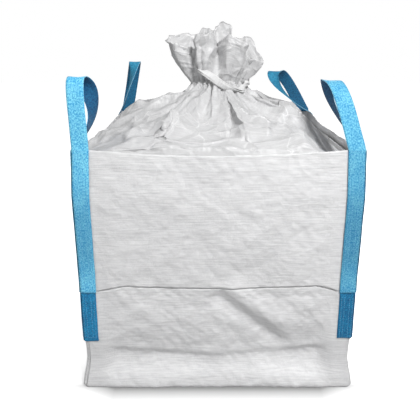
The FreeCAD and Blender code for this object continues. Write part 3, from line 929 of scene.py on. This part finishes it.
# Top edge of the tuft, petal tips and the folds between them: direction in degrees, reach and height.
TUFT_EDGE = [
    (15, 0.155, 1.130), (35, 0.150, 1.175), (50, 0.085, 1.165), (62, 0.112, 1.220), (82, 0.105, 1.228),
    (98, 0.080, 1.196), (118, 0.112, 1.206), (140, 0.085, 1.182), (160, 0.150, 1.186), (180, 0.190, 1.172),
    (196, 0.165, 1.152), (206, 0.080, 1.130), (232, 0.126, 1.178), (256, 0.104, 1.190), (270, 0.036, 1.150),
    (290, 0.115, 1.180), (318, 0.150, 1.148), (333, 0.100, 1.115), (352, 0.172, 1.085),
]


def tuft_crinkles(places):
    """Crumples over the petals of the tuft, none under the tie."""
    x, y, z = places.T
    height = 0.006 - 0.0200 * creases(1.4 * x + 0.5 * y, 0.8 * z + 0.35 * y, 0.080, 31)
    height -= 0.0025 * creases(x - 0.4 * y, z + 0.5 * y, 0.036, 33)
    return height * smooth((z - 1.020) / 0.05)


def make_tuft():
    """Bunched end of the skirt over the tie, opened into petals that close inside to a funnel."""
    around, rows = 480, 100
    angle = np.linspace(0, 2 * math.pi, around, endpoint=False)
    up = np.linspace(0, 1, rows)[:, None]
    directions, reaches, heights = (np.array(part) for part in zip(*TUFT_EDGE))
    reach = np.interp(angle, np.radians(directions), reaches, period=2 * math.pi)
    top = np.interp(angle, np.radians(directions), heights, period=2 * math.pi)
    blur = np.hanning(11) / np.hanning(11).sum()
    reach = np.convolve(np.tile(reach, 3), blur, "same")[around:2 * around][None, :]
    top = np.convolve(np.tile(top, 3), blur, "same")[around:2 * around][None, :]
    angle = angle[None, :]
    gathers = np.abs(np.sin(angle * 11 + 1.3 * np.sin(angle * 3 + 1))) * 2 - 1
    neck = 0.082 + 0.007 * gathers
    opening = 0.75 * up + 0.25 * np.sin(up * math.pi / 2)
    swell = 0.008 * np.sin(math.pi * up) * (1 + 0.4 * np.sin(angle * 3 + 0.5))
    # Outer side of the petals, from the tie up to the edge.
    radius = neck + (reach - neck) * opening + swell
    level = 1.000 + (top - 1.000) * up
    along = up * 0.22 + 0 * angle
    # Inner side, from the edge down to the bottom of the funnel.
    inner = np.linspace(0, 1, rows // 2)[1:, None]
    radius = np.concatenate([radius, 0.010 + (reach - 0.010) * (1 - inner) ** 0.9])
    level = np.concatenate([level, top - (top - 1.065) * inner ** 0.8])
    along = np.concatenate([along, 0.22 + 0.15 * inner + 0 * angle])
    points = np.stack([radius * np.cos(angle), radius * np.sin(angle) * 0.82, level], -1).reshape(-1, 3)
    uvs = np.stack([angle * TUFT_CLOTH_RADIUS + 0 * along, along], -1).reshape(-1, 2)
    tuft = make_object("tuft", points, grid_faces(len(radius), around, True), uvs, materials=[SKIRT_CLOTH])
    crinkle(tuft, tuft_crinkles)
    solidify(tuft, SKIRT_THICK, 0.0)
    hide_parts("skirt_tuft", "skirt_neck")
    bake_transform(tuft)


TAPE_WIDE = 0.022
TAPE_THICK = 0.003


def make_tie():
    """White tape wound twice round the neck, steep across its front and twisted as it goes."""
    route = []
    turns, steps = 2, 160
    for index in range(turns * steps + 1):
        angle = 2 * math.pi * index / steps
        part = index / (turns * steps)
        slant = -math.cos(angle + 0.3)
        radius = 0.0990 - 0.018 * slant + 0.0015 * math.sin(angle * 5)
        steep = math.sin(2 * angle) * max(-math.sin(angle), 0.0) ** 0.5
        level = 1.020 + 0.012 * part + 0.012 * slant + 0.030 * steep
        roll = 4 * angle + 1.2 * math.sin(angle * 2)
        cosine, sine = math.cos(angle), math.sin(angle)
        across = Vector((cosine * math.sin(roll), sine * math.sin(roll), math.cos(roll)))
        route.append((Vector((radius * cosine, radius * sine, level)), across))
    tape = ribbon("tie_tape_winding", route, 1, TAPE_WIDE, TAPE_THICK, 5, [TAPE_CLOTH] * 3, 0.0004)
    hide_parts("tie_tape")
    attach(tape, "gathered_neck")


# ---------------------------------------------------------------- floor, light, camera

# Brightness of the floor against distance from the bag's front edge.
FLOOR_SHADOW = [(0.015, 0.19), (0.03, 0.29), (0.045, 0.37), (0.06, 0.44), (0.1, 0.6), (0.3, 0.8)]
FLOOR_HALF = 14.0


def make_stage():
    """Plain pale floor, with a soft shadow ahead of the bag drawn in its material."""
    n = Nodes("studio_floor")
    n.shader.inputs["Roughness"].default_value = 0.8
    n.shader.inputs["Specular IOR Level"].default_value = 0.0
    n.shader.inputs["Emission Color"].default_value = (1, 1, 1, 1)
    split = n.add("ShaderNodeSeparateXYZ", Vector=n.place())
    ahead = n.math("ABSOLUTE", n.math("ADD", split.outputs[1], 0.462))
    aside = n.math("MAXIMUM", n.math("SUBTRACT", n.math("ABSOLUTE", split.outputs[0]), 0.36), 0.0)
    away = n.math("ADD", ahead, n.math("MULTIPLY", aside, 0.5))
    glow = n.add("ShaderNodeFloatCurve", Value=n.math("MINIMUM", away, 1.0))
    curve = glow.mapping.curves[0]
    curve.points[0].location = (0.0, 0.13)
    curve.points[1].location = (1.0, 0.86)
    for away_from_edge, level in FLOOR_SHADOW:
        curve.points.new(away_from_edge, level)
    glow.mapping.update()
    n.link(glow.outputs[0], n.shader.inputs["Emission Strength"])
    n.link(glow.outputs[0], n.shader.inputs["Base Color"])
    dim = n.add("ShaderNodeBsdfDiffuse", Color=(0.42, 0.42, 0.42, 1))
    rays = n.add("ShaderNodeLightPath")
    both = n.add("ShaderNodeMixShader")
    n.link(rays.outputs["Is Camera Ray"], both.inputs[0])
    n.link(dim.outputs[0], both.inputs[1])
    n.link(n.shader.outputs[0], both.inputs[2])
    n.link(both.outputs[0], n.output.inputs["Surface"])
    corners = [(x * FLOOR_HALF, y * FLOOR_HALF, 0) for x, y in ((-1, -1), (1, -1), (1, 1), (-1, 1))]
    floor = make_object("floor", corners, [(0, 1, 2, 3)], materials=[n.material], smooth_shading=False)


def area_light(name, place, aim, size, power):
    """Soft white light at a place, facing its aim."""
    data = bpy.data.lights.new(name, "AREA")
    data.shape = "RECTANGLE"
    data.size, data.size_y = size
    data.energy = power
    light = bpy.data.objects.new(name, data)
    light.location = place
    light.rotation_euler = (Vector(aim) - Vector(place)).to_track_quat("-Z", "Y").to_euler()
    bpy.context.scene.collection.objects.link(light)


def make_light():
    """Key light from the upper right, soft fill from the left and from behind, pale surroundings."""
    area_light("key", (1.0, -2.3, 2.9), (0, 0, 0.55), (0.6, 0.6), 98)
    area_light("top", (0.3, 0.2, 3.1), (0, 0, 0.7), (1.6, 1.6), 4)
    area_light("left", (-2.6, -2.2, 1.8), (0, 0, 0.6), (1.2, 1.6), 18)
    area_light("back", (0.8, 3.2, 1.3), (0, 0, 0.4), (1.6, 1.6), 58)
    world = bpy.data.worlds.new("studio")
    world.use_nodes = True
    tree = world.node_tree
    soft = tree.nodes["Background"]
    soft.inputs["Color"].default_value = (1, 1, 1, 1)
    soft.inputs["Strength"].default_value = 0.28
    seen = tree.nodes.new("ShaderNodeBackground")
    seen.inputs["Color"].default_value = (1, 1, 1, 1)
    seen.inputs["Strength"].default_value = 1.0
    rays = tree.nodes.new("ShaderNodeLightPath")
    mix = tree.nodes.new("ShaderNodeMixShader")
    tree.links.new(rays.outputs["Is Camera Ray"], mix.inputs[0])
    tree.links.new(soft.outputs[0], mix.inputs[1])
    tree.links.new(seen.outputs[0], mix.inputs[2])
    tree.links.new(mix.outputs[0], tree.nodes["World Output"].inputs["Surface"])
    bpy.context.scene.world = world
    bpy.context.scene.view_settings.view_transform = "Standard"


CAMERA_PLACE = (-0.026, -1.900, 1.146)
CAMERA_DOWN = 18.7
CAMERA_LENS = 41.743


def make_camera():
    """Camera in front of the bag, a little above its rim, looking down at it."""
    data = bpy.data.cameras.new("camera")
    data.sensor_width = 36
    data.lens = CAMERA_LENS
    data.clip_end = 60
    camera = bpy.data.objects.new("camera", data)
    camera.location = CAMERA_PLACE
    camera.rotation_euler = (math.radians(90 - CAMERA_DOWN), 0, 0)
    bpy.context.scene.collection.objects.link(camera)
    bpy.context.scene.camera = camera


make_walls()
make_straps()
make_stitching()
make_skirt()
make_tuft()
make_tie()
make_stage()
make_light()
make_camera()
